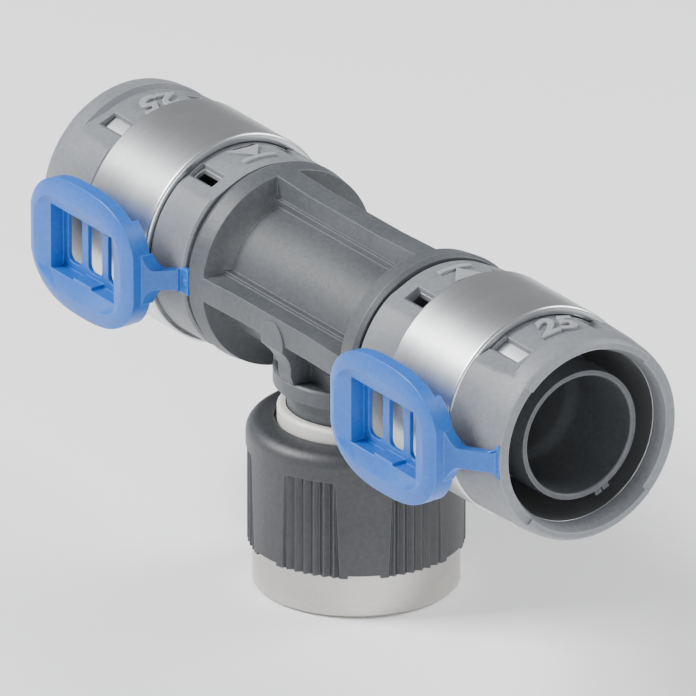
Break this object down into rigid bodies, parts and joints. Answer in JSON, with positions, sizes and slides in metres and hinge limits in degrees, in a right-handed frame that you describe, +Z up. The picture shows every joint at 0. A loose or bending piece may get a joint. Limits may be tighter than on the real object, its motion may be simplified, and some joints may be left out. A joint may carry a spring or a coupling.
{
  "type": "press tee fitting",
  "caption": "Press tee for composite pipe: a ribbed body, two press ends with a steel sleeve, guide rings, a band and a break-off tag each, and a turning union nut on the branch.",
  "frame": {"origin": "centre of the union nut's lower rim, on the branch's axis", "axes": "+Z up the branch towards the run, +X along the run, the press tags face -Y"},
  "size_m": [0.1172, 0.0384, 0.0582],
  "materials": {
    "body_plastic": "fine moulded grain",
    "ring_plastic": "fine moulded grain",
    "band_steel": "satin, turned round the run",
    "sleeve_steel": "drawn stainless steel",
    "seal_rubber": "moulded rubber",
    "tag_plastic": "moulded, slightly glossy",
    "bush_plastic": "moulded, natural colour",
    "nut_metal": "nickel-plated brass, satin",
    "grip_plastic": "fine moulded grain"
  },
  "bodies": {
    "fitting": {"tee_body": "body_plastic", "seal_inner_left": "seal_rubber", "seal_outer_left": "seal_rubber", "seal_inner_right": "seal_rubber", "seal_outer_right": "seal_rubber", "press_sleeve_left": "sleeve_steel", "press_sleeve_right": "sleeve_steel", "inner_ring_left": "ring_plastic", "inner_ring_right": "ring_plastic", "press_band_left": "band_steel", "press_band_right": "band_steel", "outer_ring_left": "ring_plastic", "outer_ring_right": "ring_plastic", "press_tag_left": "tag_plastic", "press_tag_right": "tag_plastic", "swivel_bush": "bush_plastic", "flat_gasket": "seal_rubber"},
    "union_nut": {"nut_body": "nut_metal", "nut_grip": "grip_plastic"}
  },
  "joints": [
    {"name": "nut_turn", "type": "hinge", "parent": "fitting", "child": "union_nut", "pos_m": [0, 0, 0.0238], "axis": [0, 0, 1], "continuous": true}
  ]
}
